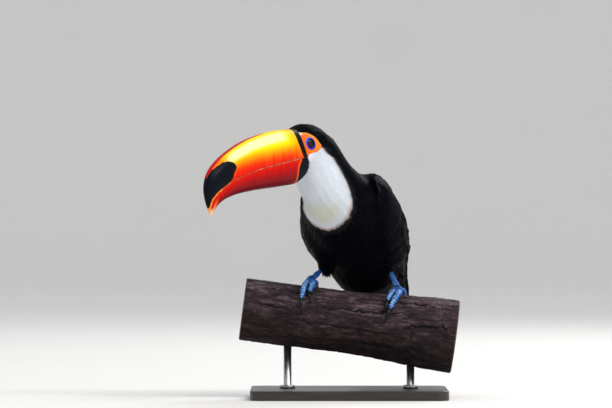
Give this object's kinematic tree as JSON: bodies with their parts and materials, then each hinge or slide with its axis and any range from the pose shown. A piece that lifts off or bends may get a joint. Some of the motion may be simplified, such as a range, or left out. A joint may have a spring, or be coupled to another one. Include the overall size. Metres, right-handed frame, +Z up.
{
  "type": "life-size toucan model on a perch",
  "caption": "Black and white toucan with a huge orange bill, leaning forward and gripping a short cut branch that rods hold over a flat base.",
  "frame": {"origin": "middle of the underside of the stand's base", "axes": "+Z up; the bird faces -Y with its bill swung towards -X, and its left side is towards +X"},
  "size_m": [0.3208, 0.4363, 0.3468],
  "materials": {
    "black_feathers": "matte",
    "white_feathers": "matte",
    "bill_orange": "satin",
    "bill_red": "satin",
    "blue_foot": "satin",
    "black_claw": "satin",
    "dark_eye": "gloss",
    "weathered_wood": "matte",
    "stained_wood": "satin",
    "rod_steel": "satin"
  },
  "bodies": {
    "root": {"head": "black_feathers", "neck": "white_feathers", "trunk": "black_feathers", "bill_upper": "bill_orange", "bill_lower": "bill_red", "wing_left": "black_feathers", "wing_right": "black_feathers", "tail": "black_feathers", "thigh_left": "black_feathers", "thigh_right": "black_feathers", "shank_left": "blue_foot", "shank_right": "blue_foot", "toe_left_front_outer": "blue_foot", "toe_left_front_inner": "blue_foot", "toe_left_back_outer": "blue_foot", "toe_left_back_inner": "blue_foot", "toe_right_front_outer": "blue_foot", "toe_right_front_inner": "blue_foot", "toe_right_back_outer": "blue_foot", "toe_right_back_inner": "blue_foot", "claw_left_front_outer": "black_claw", "claw_left_front_inner": "black_claw", "claw_left_back_outer": "black_claw", "claw_left_back_inner": "black_claw", "claw_right_front_outer": "black_claw", "claw_right_front_inner": "black_claw", "claw_right_back_outer": "black_claw", "claw_right_back_inner": "black_claw", "eye_left": "dark_eye", "eye_right": "dark_eye", "perch": "weathered_wood", "stand_base": "stained_wood", "stand_rod_left": "rod_steel", "stand_rod_right": "rod_steel"}
  },
  "joints": []
}
